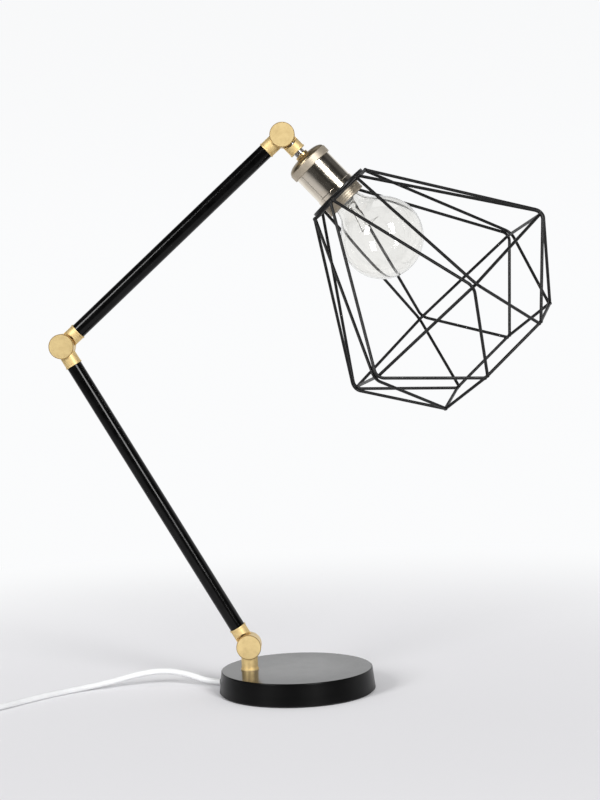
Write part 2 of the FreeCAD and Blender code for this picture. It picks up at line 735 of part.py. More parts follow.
def coil_path():
    """Two layers that spiral in and out; each half turn is a half circle.

    The half turn where the spiral reverses leans up to the second layer.
    """
    outer = coil_inner_radius + coil_half_turns * coil_turn_pitch / 2
    radii = [outer - k * coil_turn_pitch / 2 for k in range(coil_half_turns + 1)]
    heights = [cord_radius] * len(radii)
    radii += radii[::-1]
    heights += [cord_radius + coil_layer_pitch] * (len(radii) // 2)
    joints = []
    for k, radius in enumerate(radii):
        side = -1 if k % 2 == 0 else 1
        joints.append(coil_centre + V(0, side * radius, heights[k]))
    entry_rise = V(0, 0, switch_cord_height - cord_radius)
    entry = joints[0] + V(coil_lead_in, 0, 0) + entry_rise
    level_end = entry - V(coil_entry_level_run, 0, 0)
    slope_end = level_end - V(coil_entry_slope_run, 0, 0) - entry_rise
    edges = rounded_path([entry, level_end, slope_end, joints[0]], [coil_entry_bend] * 2).Edges
    for k in range(len(joints) - 1):
        across = joints[k + 1] - joints[k]
        heading = -1 if k % 2 == 0 else 1
        middle = (joints[k] + joints[k + 1]) * 0.5 + V(heading * across.Length / 2, 0, 0)
        edges.append(Part.Arc(joints[k], middle, joints[k + 1]).toShape())
    heading = -1 if (len(joints) - 1) % 2 == 0 else 1
    edges.append(Part.LineSegment(joints[-1], joints[-1] + V(heading * coil_lead_out, 0, 0)).toShape())
    return Part.Wire(edges), edges


def coil_gap(edges):
    """Least gap of the coil to itself, on points one millimetre apart or so."""
    points = []
    run = 0.0
    for edge in edges:
        count = max(2, int(edge.Length / 2))
        for point in edge.discretize(count)[:-1]:
            points.append((run, point))
            run += edge.Length / (count - 1)
    least = 1e9
    for i, (s, p) in enumerate(points):
        for t, q in points[i + 1:]:
            if t - s > 6 * cord_radius:
                least = min(least, (p - q).Length)
    return least - cord_diameter


def make_cord(outlet, outward):
    """Free stretch to the switch, coil, and tail to the plug."""
    switch_end = V(coil_centre.x + coil_lead_in + switch_length, switch_line_y, switch_cord_height)
    lead_route = [
        outlet,
        outlet + outward * cord_outlet_run,
        V(-108.0, 40.5, 11.0),
        V(-131.0, 46.0, 14.6),
        V(-157.0, 46.0, 12.4),
        V(-188.0, 39.5, 5.6),
        V(-219.0, 25.0, 3.0),
        V(-249.0, -1.0, 3.0),
        V(-275.0, -33.0, 3.0),
        V(-294.0, -55.5, 3.6),
        switch_end + V(switch_level_run, 0, 0),
        switch_end,
    ]
    lead = cord_tube("cord_lead", lead_route)
    path, edges = coil_path()
    coil = swept(path, cord_radius)
    report_tube("cord_coil", coil, path, cord_radius)
    print(f"cord_coil least gap to itself: {coil_gap(edges):.2f}")

    # The tail leaves the top layer, turns back on the floor and rises into the plug.
    coil_end = edges[-1].valueAt(edges[-1].LastParameter)
    plug_line = plug_thickness / 2
    drop = plug_line - coil_end.z
    down = cord_radius - coil_end.z
    tail_route = [
        coil_end,
        coil_end + V(15.5, 0, 0),
        coil_end + V(39.0, 7.0, -3.6),
        coil_end + V(58.0, 25.0, down),
        coil_end + V(67.0, 49.0, down),
        coil_end + V(58.0, 73.0, down),
        coil_end + V(37.0, 87.0, down + 0.6),
        coil_end + V(12.0, 92.0, drop),
        coil_end + V(-5.0, 92.0, drop),
    ]
    tail = cord_tube("cord_tail", tail_route)
    body, rocker = make_switch(switch_end)
    plug, pins = make_plug(tail_route[-1])
    return {"cord_lead": lead, "cord_coil": coil, "cord_tail": tail, "switch_body": body,
            "switch_rocker": rocker, "plug_body": plug, "plug_pins": pins}


def make_switch(cord_end):
    """In-line switch that lies along X, and its rocker, tilted to one side."""
    centre = V(cord_end.x - switch_length / 2, cord_end.y, 0)
    body = Part.makeBox(switch_length, switch_width, switch_height,
                        V(-switch_length / 2, -switch_width / 2, 0))
    upright = [edge for edge in body.Edges if edge.BoundBox.ZLength > switch_height / 2]
    body = body.makeFillet(switch_corner, upright)
    body = chamfered(body, switch_edge, lambda edge: edge.BoundBox.ZMin > switch_height - 0.01)
    reach = math.hypot(rocker_length / 2, rocker_top) + rocker_gap
    sweep = math.hypot(rocker_foot_length / 2, rocker_below) * math.sin(
        math.radians(rocker_tilt) + math.atan2(rocker_below, rocker_foot_length / 2))
    slot_floor = rocker_pivot_height - sweep - rocker_gap
    slot_half = rocker_width / 2 + rocker_gap
    body = body.cut(Part.makeBox(2 * reach, 2 * slot_half, switch_height, V(-reach, -slot_half, slot_floor)))
    pin_half = rocker_width / 2 + rocker_pin_length
    pin_start = V(0, -pin_half, rocker_pivot_height)
    body = body.cut(Part.makeCylinder(rocker_pin_diameter / 2 + running_fit, 2 * pin_half + 2 * face_gap,
                                      pin_start - V(0, face_gap, 0), V(0, 1, 0)))

    outline = [(-rocker_length / 2, rocker_top), (0, rocker_top - rocker_dip),
               (rocker_length / 2, rocker_top), (rocker_foot_length / 2, -rocker_below),
               (-rocker_foot_length / 2, -rocker_below)]
    corners = [V(x, -rocker_width / 2, rocker_pivot_height + z) for x, z in outline + outline[:1]]
    rocker = Part.Face(Part.makePolygon(corners)).extrude(V(0, rocker_width, 0))
    rocker = rocker.fuse(Part.makeCylinder(rocker_pin_diameter / 2, 2 * pin_half, pin_start, V(0, 1, 0)))
    rocker.rotate(V(0, 0, rocker_pivot_height), V(0, 1, 0), -rocker_tilt)
    body.translate(centre)
    rocker.translate(centre)
    print(f"rocker pivot {centre.x:.2f}, {centre.y:.2f}, {rocker_pivot_height:.2f}")
    return body, rocker


def bevelled_outline(width, thickness, bevel, x):
    """Flat six-sided outline across X, bevelled at both short sides."""
    half = width / 2
    corners = [(-half, 0), (-half + bevel, thickness / 2), (half - bevel, thickness / 2), (half, 0),
               (half - bevel, -thickness / 2), (-half + bevel, -thickness / 2), (-half, 0)]
    return Part.makePolygon([V(x, y, z) for y, z in corners])


def make_plug(cord_end):
    """Flat two-pin plug on the floor, its pins towards -X, and its strain relief."""
    front = -plug_relief_length - plug_length
    body = Part.makeLoft([bevelled_outline(plug_back_width, plug_back_thickness, plug_bevel,
                                           -plug_relief_length),
                          bevelled_outline(plug_width, plug_thickness, plug_bevel, front)], True, True)
    relief = Part.makeCone(plug_relief_tip, plug_relief_radius, plug_relief_length, V(0, 0, 0), V(-1, 0, 0))
    pitch = plug_relief_length / (plug_relief_grooves + 1)
    for k in range(plug_relief_grooves):
        groove = ring(plug_relief_radius + groove_cut_margin, cord_radius + plug_groove_skin,
                      plug_relief_groove)
        groove.rotate(V(0, 0, 0), V(0, 1, 0), -90)
        groove.translate(V(-pitch * (k + 1), 0, 0))
        relief = relief.cut(groove)
    body = body.fuse(relief)
    pins = []
    for side in (-1, 1):
        line = V(front, side * plug_pin_pitch / 2, 0)
        pin = Part.makeCylinder(plug_pin_diameter / 2, plug_pin_length + plug_pin_root,
                                line + V(plug_pin_root, 0, 0), V(-1, 0, 0))
        tip_x = front - plug_pin_length
        pin = chamfered(pin, plug_pin_chamfer, lambda edge: (
            edge.BoundBox.XLength < 0.01 and abs(edge.BoundBox.XMin - tip_x) < 0.01))
        body = body.cut(pin)
        pins.append(pin)
    pins = Part.makeCompound(pins)
    body.translate(cord_end)
    pins.translate(cord_end)
    return body, pins


def main():
    os.makedirs("parts", exist_ok=True)
    nodes, outlet, outward = make_base()
    nodes.update(make_knuckles())
    nodes.update(make_arm("lower", base_pivot, lower_arm_lean, lower_arm_length))
    nodes.update(make_arm("upper", elbow_pivot, upper_arm_lean, upper_arm_length))
    for name, shape in {**make_lampholder(), **make_bulb(), **make_cage()}.items():
        nodes[name] = leaned(shape, head_pivot, head_lean)
    nodes.update(make_cord(outlet, outward))
    for name, shape in nodes.items():
        state = "" if shape.isValid() else " NOT VALID"
        print(f"{name}: {len(shape.Solids)} solid, volume {shape.Volume:.0f}{state}")
        shape.exportStep(f"parts/{name}.step")


main()
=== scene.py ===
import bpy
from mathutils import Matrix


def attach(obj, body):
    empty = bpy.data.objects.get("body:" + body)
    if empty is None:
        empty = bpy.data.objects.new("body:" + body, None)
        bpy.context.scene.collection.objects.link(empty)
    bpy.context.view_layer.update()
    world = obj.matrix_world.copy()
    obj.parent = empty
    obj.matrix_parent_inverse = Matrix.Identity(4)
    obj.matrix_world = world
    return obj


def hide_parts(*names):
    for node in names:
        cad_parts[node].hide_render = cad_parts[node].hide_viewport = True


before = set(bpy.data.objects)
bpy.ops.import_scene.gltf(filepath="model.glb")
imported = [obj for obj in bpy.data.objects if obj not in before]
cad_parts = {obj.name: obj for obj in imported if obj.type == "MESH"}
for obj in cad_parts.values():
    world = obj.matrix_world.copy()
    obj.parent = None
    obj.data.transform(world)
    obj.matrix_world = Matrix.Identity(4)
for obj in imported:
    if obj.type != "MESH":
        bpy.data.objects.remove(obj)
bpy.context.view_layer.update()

import bpy
import bmesh
import math
import numpy as np
from mathutils import Matrix, Vector

# Two-arm desk lamp with brass friction knuckles and a black wire cage.
# Sizes are in millimetres and turn to metres where a mesh is made.

MM = 0.001
ORIGIN = np.zeros(3)

# How far each member leans from upright, in degrees, and the arms from pivot to pivot.
LOWER, UPPER, HEAD = -29.58, 48.5, 137.56
LOWER_LENGTH, UPPER_LENGTH = 342.0, 292.7


def lean(degrees):
    """Unit vector that leans from +Z towards +X."""
    angle = math.radians(degrees)
    return np.array([math.sin(angle), 0.0, math.cos(angle)])


BASE_PIVOT = np.array([-45.7, 0.0, 45.7])
ELBOW_PIVOT = BASE_PIVOT + LOWER_LENGTH * lean(LOWER)
HEAD_PIVOT = ELBOW_PIVOT + UPPER_LENGTH * lean(UPPER)


# ---- camera ----
def make_camera():
    """Camera of the photograph: 82.76 mm lens on 36 mm along the 800 pixels."""
    forward = Vector((-0.01355, 0.99781, -0.06468)).normalized()
    right = forward.cross(Vector((0.03555, 0.06512, 0.99724))).normalized()
    up = right.cross(forward)
    data = bpy.data.cameras.new("camera")
    data.lens = 82.76
    data.sensor_width = 36.0
    data.clip_start = 0.05
    data.clip_end = 40.0
    camera = bpy.data.objects.new("camera", data)
    axes = Matrix((right, up, -forward)).transposed()
    camera.matrix_world = Matrix.Translation((0.0365, -1.7690, 0.3979)) @ axes.to_4x4()
    bpy.context.scene.collection.objects.link(camera)
    bpy.context.scene.camera = camera


make_camera()


# ---- materials ----
class Graph:
    """A node tree with short ways to add nodes to it."""

    def __init__(self, tree):
        self.tree = tree

    def node(self, kind, **settings):
        made = self.tree.nodes.new(kind)
        for key, value in settings.items():
            setattr(made, key, value)
        return made

    def link(self, out, into):
        self.tree.links.new(out, into)

    def math(self, operation, first, second=None):
        made = self.node("ShaderNodeMath", operation=operation)
        for socket, value in zip(made.inputs, (first, second)):
            if isinstance(value, (int, float)):
                socket.default_value = value
            elif value is not None:
                self.link(value, socket)
        return made.outputs[0]

    def weighed(self, first, weight, second, other_weight):
        """first x weight + second x other_weight."""
        return self.math("ADD", self.math("MULTIPLY", first, weight),
                         self.math("MULTIPLY", second, other_weight))

    def reach(self, first, second):
        """Distance from an axis, from the two coordinates across it."""
        return self.math("SQRT", self.weighed(first, first, second, second))

    def axes(self, vector):
        made = self.node("ShaderNodeSeparateXYZ")
        self.link(vector, made.inputs["Vector"])
        return made.outputs

    def spread(self, value, low, high, start=0.35, end=0.65):
        """Goes smoothly from low to high as the value goes from start to end."""
        made = self.node("ShaderNodeMapRange", interpolation_type="SMOOTHSTEP")
        for key, number in (("From Min", start), ("From Max", end), ("To Min", low), ("To Max", high)):
            made.inputs[key].default_value = number
        self.link(value, made.inputs["Value"])
        return made.outputs["Result"]

    def blend(self, value, first, second, start, end):
        """Colour that goes from the first to the second as the value goes from start to end."""
        made = self.node("ShaderNodeMix", data_type="RGBA")
        for socket in made.inputs:
            if socket.type == "RGBA":
                socket.default_value = (*(first if socket.name == "A" else second), 1.0)
        self.link(self.spread(value, 0.0, 1.0, start, end), made.inputs["Factor"])
        return [socket for socket in made.outputs if socket.type == "RGBA"][0]


class Finish(Graph):
    """A Principled material with helpers for its textures."""

    def __init__(self, name, color, roughness, metallic=0.0, **constants):
        self.material = bpy.data.materials.new(name)
        self.material.use_nodes = True
        super().__init__(self.material.node_tree)
        self.shader = self.tree.nodes["Principled BSDF"]
        self.shader.inputs["Base Color"].default_value = (*color, 1.0)
        self.shader.inputs["Roughness"].default_value = roughness
        self.shader.inputs["Metallic"].default_value = metallic
        for key, value in constants.items():
            self.shader.inputs[key.replace("_", " ")].default_value = value
        self.coords = self.node("ShaderNodeTexCoord").outputs["Object"]
        self.heights = []

    def placed(self, pivot, degrees):
        """Object coordinates as seen from a pivot, leaned about +Y with the member."""
        made = self.node("ShaderNodeMapping", vector_type="TEXTURE")
        made.inputs["Location"].default_value = tuple(pivot * MM)
        made.inputs["Rotation"].default_value = (0.0, math.radians(degrees), 0.0)
        self.link(self.coords, made.inputs["Vector"])
        return made.outputs["Vector"]

    def noise(self, scale, detail=3.0):
        made = self.node("ShaderNodeTexNoise")
        made.inputs["Scale"].default_value = scale
        made.inputs["Detail"].default_value = detail
        made.inputs["Roughness"].default_value = 0.55
        self.link(self.coords, made.inputs["Vector"])
        return made.outputs["Fac"]

    def line_noise(self, value, scale, detail=2.0):
        """Noise along one number, for turned or drawn lines."""
        made = self.node("ShaderNodeTexNoise", noise_dimensions="1D")
        made.inputs["Scale"].default_value = scale
        made.inputs["Detail"].default_value = detail
        self.link(value, made.inputs["W"])
        return made.outputs["Fac"]

    def tint(self, value, dark, light, start=0.35, end=0.65):
        self.link(self.blend(value, dark, light, start, end), self.shader.inputs["Base Color"])

    def rough(self, value, low, high):
        self.link(self.spread(value, low, high), self.shader.inputs["Roughness"])

    def relief(self, value, depth):
        """Adds a height of this many metres from low to high of the value."""
        self.heights.append(self.math("MULTIPLY", value, depth))

    def done(self):
        total = self.heights[0]
        for height in self.heights[1:]:
            total = self.math("ADD", total, height)
        bump = self.node("ShaderNodeBump")
        bump.inputs["Strength"].default_value = 1.0
        bump.inputs["Distance"].default_value = 1.0
        self.link(total, bump.inputs["Height"])
        self.link(bump.outputs["Normal"], self.shader.inputs["Normal"])
        return self.material


def base_lacquer(name, dark, light, low, high, **constants):
    """Semi-gloss black lacquer over a turned cover: faint rings about Z, a painted sheen that lightens the
    colour round the middle, and orange peel.
    """
    f = Finish(name, dark, low, **constants)
    x, y, _ = f.axes(f.coords)
    radius = f.reach(x, y)
    rings = f.line_noise(radius, 900.0, 3.0)
    # Painted sheen: the colour is lighter in a ring round the middle and fades outwards.
    sheen_from_middle = f.spread(radius, 0.7, 1.0, 0.004, 0.016)
    sheen_fading_outwards = f.spread(radius, 1.0, 0.1, 0.020, 0.066)
    painted_sheen = f.math("MULTIPLY", sheen_from_middle, sheen_fading_outwards)
    f.tint(f.weighed(painted_sheen, 0.55, f.noise(35.0, 4.0), 0.45), dark, light, 0.2, 0.8)
    f.rough(f.weighed(rings, 0.5, f.noise(60.0, 4.0), 0.5), low, high)
    f.relief(rings, 0.0000008)
    f.relief(f.noise(700.0, 2.0), 0.0000008)
    return f.done()


def tube_lacquer():
    """Gloss black lacquer on drawn tube, with a faint orange peel."""
    f = Finish("tube_lacquer", (0.002, 0.002, 0.002), 0.16, Specular_IOR_Level=0.2)
    f.tint(f.noise(90.0), (0.001, 0.001, 0.001), (0.003, 0.003, 0.003))
    f.rough(f.noise(60.0), 0.13, 0.18)
    f.relief(f.noise(320.0, 2.0), 0.0000006)
    return f.done()


def powder_coat():
    """Satin black powder coat: fine pebbling and slightly rougher patches."""
    f = Finish("powder_coat", (0.005, 0.005, 0.005), 0.4, Specular_IOR_Level=0.3)
    f.tint(f.noise(120.0), (0.004, 0.004, 0.004), (0.008, 0.008, 0.008))
    f.rough(f.noise(260.0, 4.0), 0.34, 0.46)
    f.relief(f.noise(1500.0), 0.000006)
    return f.done()


def brushed_brass(name, pivot, degrees):
    """Satin brass: circular brushing on the disc, turned lines on its collar, faint tarnish, and painted
    shade darkening the rim of each face.
    """
    f = Finish(name, (0.96, 0.74, 0.34), 0.42, metallic=0.6)
    x, y, z = f.axes(f.placed(pivot, degrees))
    radius = f.reach(x, z)
    on_disc = f.spread(radius, 1.0, 0.0, 0.0119, 0.0123)
    f.link(f.math("SUBTRACT", 0.68, f.math("MULTIPLY", on_disc, 0.16)), f.shader.inputs["Metallic"])
    rings = f.line_noise(radius, 6500.0, 3.0)
    lines = f.line_noise(z, 5200.0, 3.0)
    brushing = f.weighed(rings, on_disc, lines, f.math("SUBTRACT", 1.0, on_disc))
    blotches = f.noise(150.0, 4.0)
    at_face = f.spread(f.math("ABSOLUTE", y), 0.0, 1.0, 0.0090, 0.0095)
    # Painted shade: a thin dark ring at the outer rim of each disc face.
    painted_rim_shade = f.math("MULTIPLY", f.spread(radius, 0.0, 1.0, 0.0112, 0.0116),
                  f.math("MULTIPLY", on_disc, at_face))
    f.tint(f.math("SUBTRACT", f.math("ADD", 0.2, f.math("MULTIPLY", blotches, 0.8)), painted_rim_shade),
           (0.42, 0.26, 0.09), (0.85, 0.65, 0.31), 0.0, 0.75)
    coarse = f.math("SUBTRACT", f.math("ADD", 0.4, f.math("MULTIPLY", blotches, 0.4)),
                    f.math("MULTIPLY", on_disc, 0.4))
    f.rough(f.math("ADD", f.math("MULTIPLY", brushing, 0.2), coarse), 0.38, 0.54)
    f.relief(blotches, 0.000001)
    return f.done()


def plain_brass():
    """Brighter brass of the lock nut, lightly mottled."""
    f = Finish("nut_brass", (0.80, 0.58, 0.27), 0.3, metallic=1.0)
    f.tint(f.noise(300.0, 4.0), (0.66, 0.45, 0.19), (0.86, 0.65, 0.33))
    f.rough(f.noise(500.0), 0.24, 0.4)
    f.relief(f.noise(2500.0, 2.0), 0.000001)
    return f.done()


def polished_nickel():
    """Polished nickel over turned brass: fine lines round the head's axis, soft smears."""
    f = Finish("polished_nickel", (0.78, 0.71, 0.60), 0.1, metallic=1.0)
    _, _, z = f.axes(f.placed(HEAD_PIVOT, HEAD))
    lines = f.line_noise(z, 2600.0, 2.0)
    smears = f.noise(70.0, 4.0)
    f.tint(smears, (0.74, 0.66, 0.54), (0.82, 0.75, 0.64))
    f.rough(f.weighed(lines, 0.35, smears, 0.65), 0.1, 0.19)
    f.relief(lines, 0.0000004)
    return f.done()


def satin_nickel():
    """Satin nickel of the cap and rings, brushed round the head's axis; the dome is smoother, and its
    colour is darker as painted shade.
    """
    f = Finish("satin_nickel", (0.62, 0.55, 0.45), 0.45, metallic=0.8)
    _, _, z = f.axes(f.placed(HEAD_PIVOT, HEAD))
    lines = f.line_noise(z, 5200.0, 3.0)
    patches = f.noise(110.0, 4.0)
    past_dome = f.spread(z, 0.0, 1.0, 0.0338, 0.0344)
    f.link(f.math("SUBTRACT", 1.0, f.math("MULTIPLY", past_dome, 0.2)), f.shader.inputs["Metallic"])
    # Painted shade: the dome, short of past_dome, gets the darker colour.
    f.tint(f.weighed(patches, 0.6, past_dome, 0.4), (0.32, 0.26, 0.17), (0.57, 0.50, 0.40), 0.3, 0.75)
    grain = f.weighed(lines, 0.12, patches, 0.16)
    f.link(f.math("ADD", grain, f.math("ADD", 0.22, f.math("MULTIPLY", past_dome, 0.16))),
           f.shader.inputs["Roughness"])
    f.relief(lines, 0.0000004)
    return f.done()


def metal(name, dark, light, low, high):
    """Plain plated or drawn metal with a fine grain."""
    f = Finish(name, light, low, metallic=1.0)
    f.tint(f.noise(160.0, 4.0), dark, light)
    f.rough(f.noise(400.0), low, high)
    f.relief(f.noise(1600.0, 2.0), 0.000001)
    return f.done()


def moulded(name, dark, light, low, high, scale=300.0, depth=0.000002):
    """Cast or moulded skin; the scale sets how fine its texture is."""
    f = Finish(name, light, low)
    f.tint(f.noise(scale * 0.3, 4.0), dark, light)
    f.rough(f.noise(scale), low, high)
    f.relief(f.noise(scale * 3.0, 2.0), depth)
    return f.done()


def blown_glass():
    """Clear blown glass with a faint warm grey tint and a slight waviness."""
    f = Finish("blown_glass", (0.952, 0.948, 0.93), 0.0, Transmission_Weight=1.0, IOR=1.46)
    f.tint(f.noise(18.0, 2.0), (0.945, 0.94, 0.92), (0.96, 0.956, 0.94))
    f.relief(f.noise(45.0, 2.0), 0.000008)
    return f.done()


def pressed_glass():
    """Thicker glass of the stem, a little clouded where it was pinched."""
    f = Finish("pressed_glass", (0.95, 0.95, 0.94), 0.08, Transmission_Weight=1.0, IOR=1.5)
    f.tint(f.noise(200.0), (0.92, 0.92, 0.91), (0.97, 0.97, 0.96))
    f.rough(f.noise(320.0), 0.03, 0.16)
    f.relief(f.noise(400.0, 2.0), 0.00004)
    return f.done()


def cord_sheath():
    """Smooth white PVC with a faint unevenness from the coil it came off."""
    f = Finish("cord_sheath", (0.74, 0.745, 0.75), 0.45)
    f.tint(f.noise(45.0), (0.71, 0.715, 0.72), (0.77, 0.775, 0.78))
    f.rough(f.noise(220.0), 0.4, 0.55)
    f.relief(f.noise(160.0, 2.0), 0.000015)
    return f.done()


def switch_shell():
    """White moulded shell with the seam where its two halves meet, at half height."""
    seam_height = 0.0078
    f = Finish("switch_shell", (0.84, 0.845, 0.84), 0.3)
    _, _, z = f.axes(f.coords)
    from_seam = f.math("ABSOLUTE", f.math("SUBTRACT", z, seam_height))
    off_seam = f.spread(from_seam, 0.0, 1.0, 0.00008, 0.00022)
    f.tint(off_seam, (0.30, 0.30, 0.30), (0.85, 0.855, 0.85), 0.0, 1.0)
    f.rough(f.noise(300.0), 0.26, 0.38)
    f.relief(off_seam, 0.00012)
    f.relief(f.noise(1600.0, 2.0), 0.000008)
    return f.done()


NICKEL = polished_nickel()
SATIN_NICKEL = satin_nickel()
GLASS = blown_glass()
STEM_GLASS = pressed_glass()
SHEATH = cord_sheath()
POWDER = powder_coat()
NUT_BRASS = plain_brass()
SIDE_BLACK = base_lacquer("base_side", (0.001, 0.001, 0.001), (0.002, 0.002, 0.002), 0.28, 0.34,
                          Specular_IOR_Level=0.15)

# One finish for each slot of the CAD: darker and lighter colour, then the range of roughness.
MATERIALS = {
    "base_black": SIDE_BLACK,
    "gloss_black": tube_lacquer(),
    "wire_black": POWDER,
    "nickel": NICKEL,
    "satin_brass": NUT_BRASS,
    "clear_glass": GLASS,
    "cord_white": SHEATH,
    "white_plastic": moulded("white_moulding", (0.81, 0.815, 0.81), (0.86, 0.865, 0.86), 0.24, 0.36),
    "black_plastic": moulded("black_moulding", (0.018, 0.018, 0.019), (0.03, 0.03, 0.031), 0.28, 0.42),
    "cast_iron": moulded("cast_iron", (0.05, 0.05, 0.052), (0.10, 0.10, 0.105), 0.6, 0.8,
                         200.0, 0.00008),
    "pad_rubber": moulded("pad_rubber", (0.018, 0.018, 0.018), (0.03, 0.03, 0.03), 0.65, 0.85,
                          400.0, 0.00002),
    "zinc_steel": metal("zinc_plate", (0.52, 0.53, 0.55), (0.66, 0.67, 0.69), 0.22, 0.38),
    "plated_pins": metal("pin_plating", (0.66, 0.66, 0.65), (0.78, 0.78, 0.77), 0.14, 0.26),
    "contact_brass": metal("contact_strip", (0.62, 0.45, 0.2), (0.78, 0.6, 0.3), 0.25, 0.4),
    "filament": metal("filament_wire", (0.2, 0.19, 0.18), (0.34, 0.33, 0.31), 0.35, 0.5),
    "nylon": moulded("nylon", (0.62, 0.61, 0.57), (0.70, 0.69, 0.65), 0.45, 0.6),
    "porcelain": moulded("porcelain", (0.80, 0.79, 0.75), (0.86, 0.85, 0.82), 0.14, 0.26),
}

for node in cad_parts:
    for slot in bpy.data.objects[node].material_slots:
        slot.material = MATERIALS[slot.material.name.split(".")[0]]


# ---- surfaces ----
def leaned(points, pivot, degrees):
    """Upright points turned about +Y by a lean a and moved to a pivot.

    x' = x cos a + z sin a, z' = z cos a - x sin a.
    """
    a = math.radians(degrees)
    x, y, z = points[..., 0], points[..., 1], points[..., 2]
    turned_x = x * math.cos(a) + z * math.sin(a)
    turned_z = z * math.cos(a) - x * math.sin(a)
    return np.stack([turned_x, y, turned_z], -1) + pivot


def once_round(count):
    """A row of evenly spaced angles t from 0 to 2 pi, without the last."""
    return np.linspace(0.0, 2 * math.pi, count, endpoint=False)[None, :]


def patch(grid, wrap_rows=False, caps=False):
    """Vertices and quads of an (n, m, 3) grid of points whose columns join up.

    wrap_rows joins the last row to the first; caps close both rows instead.
    """
    n, m = grid.shape[:2]
    i = np.arange(n if wrap_rows else n - 1)[:, None]
    j = np.arange(m)[None, :]
    i2 = (i + 1) % n
    j2 = (j + 1) % m
    corners = np.broadcast_arrays(i * m + j, i * m + j2, i2 * m + j2, i2 * m + j)
    faces = np.stack(corners, -1).reshape(-1, 4).tolist()
    if caps:
        faces += [list(range(m)), list(range((n - 1) * m, n * m))]
    return grid.reshape(-1, 3), faces


def rounded(points, radii, steps=6, closed=False):
    """Outline or path with each corner P turned into a tangent arc.

    With unit vectors a, b to the neighbours and turn angle w, the arc's centre is
    C = P + (a + b)/|a + b| r/cos(w/2) and its points are
    C + (u sin((1 - t) w) + v sin(t w))/sin w, u and v from C to the tangent points.
    """
    points = np.asarray(points, float)
    count = len(points)
    radii = [radii] * count if np.isscalar(radii) else radii
    t = np.linspace(0.0, 1.0, steps + 1)[:, None]
    runs = []
    for k in range(count):
        if radii[k] == 0 or (not closed and k in (0, count - 1)):
            runs.append(points[k][None])
            continue
        a = points[k - 1] - points[k]
        b = points[(k + 1) % count] - points[k]
        a /= np.linalg.norm(a)
        b /= np.linalg.norm(b)
        w = math.pi - math.acos(float(np.clip(a @ b, -1.0, 1.0)))
        if w < 1e-3:
            runs.append(points[k][None])
            continue
        setback = radii[k] * math.tan(w / 2)
        centre = points[k] + (a + b) / np.linalg.norm(a + b) * radii[k] / math.cos(w / 2)
        u = points[k] + a * setback - centre
        v = points[k] + b * setback - centre
        runs.append(centre + (u * np.sin((1 - t) * w) + v * np.sin(t * w)) / math.sin(w))
    return np.concatenate(runs)


def turned(outline, pivot, degrees, segments=144, ripple=None):
    """Surface of revolution P(s, t) = (r cos t, r sin t, z) of a closed (r, z) outline.

    ripple(r, z, t) may return a changed radius, for threads and flats.
    """
    t = once_round(segments)
    r = np.asarray(outline)[:, 0, None] + 0.0 * t
    z = np.asarray(outline)[:, 1, None] + 0.0 * t
    if ripple:
        r = ripple(r, z, t + 0.0 * r)
    grid = np.stack([r * np.cos(t), r * np.sin(t), z], -1)
    return patch(leaned(grid, pivot, degrees), wrap_rows=True)


def rod(path, radius, flat, sides=20, closed=False):
    """Round rod P(s, t) = C(s) + r (cos t N(s) + sin t B) along a path in one plane.

    B is the plane's normal, T the tangent by central differences and N = B x T.
    """
    path = np.asarray(path, float)
    if closed:
        tangent = np.roll(path, -1, 0) - np.roll(path, 1, 0)
    else:
        tangent = np.gradient(path, axis=0)
    tangent /= np.linalg.norm(tangent, axis=1)[:, None]
    flat = np.asarray(flat, float) / np.linalg.norm(flat)
    across = np.cross(flat, tangent)
    across /= np.linalg.norm(across, axis=1)[:, None]
    t = once_round(sides)[..., None]
    r = np.broadcast_to(np.asarray(radius, float), (len(path),))[:, None, None]
    grid = path[:, None] + r * (np.cos(t) * across[:, None] + np.sin(t) * flat)
    return patch(grid, wrap_rows=closed, caps=not closed)


def bead(centre, radius):
    """Weld bead: ball P(u, t) = C + r (sin u cos t, sin u sin t, cos u)."""
    u = np.linspace(0.0, math.pi, 9)[:, None]
    t = once_round(14)
    ball = np.stack([np.sin(u) * np.cos(t), np.sin(u) * np.sin(t), np.cos(u) + 0.0 * t], -1)
    return patch(ball * radius + centre)


def piece(name, patches, material, body, replaces, sharp=35.0):
    """One object from patches in millimetres: welded, faced outward, smooth up to sharp degrees."""
    starts = np.cumsum([0] + [len(vertices) for vertices, _ in patches])
    vertices = np.concatenate([vertices for vertices, _ in patches]) * MM
    faces = [[index + int(start) for index in face]
             for start, (_, group) in zip(starts, patches) for face in group]
    mesh = bpy.data.meshes.new(name)
    mesh.from_pydata(vertices.tolist(), [], faces)
    settle(mesh, sharp)
    made = bpy.data.objects.new(name, mesh)
    return dress(made, material, body, replaces)


def settle(mesh, sharp=30.0):
    """Weld doubled points and close poles, face outward, shade smooth."""
    work = bmesh.new()
    work.from_mesh(mesh)
    bmesh.ops.remove_doubles(work, verts=work.verts, dist=1e-6)
    bmesh.ops.recalc_face_normals(work, faces=work.faces)
    work.to_mesh(mesh)
    work.free()
    mesh.shade_smooth()
    mesh.set_sharp_from_angle(angle=math.radians(sharp))


def dress(made, material, body, replaces):
    """Give an object its material, put it on its body and hide the CAD nodes it stands for."""
    bpy.context.scene.collection.objects.link(made)
    made.data.materials.clear()
    made.data.materials.append(material)
    if made.type == "MESH":
        even = made.modifiers.new("even normals", "WEIGHTED_NORMAL")
        even.keep_sharp = True
    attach(made, body)
    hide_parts(*replaces)
    return made


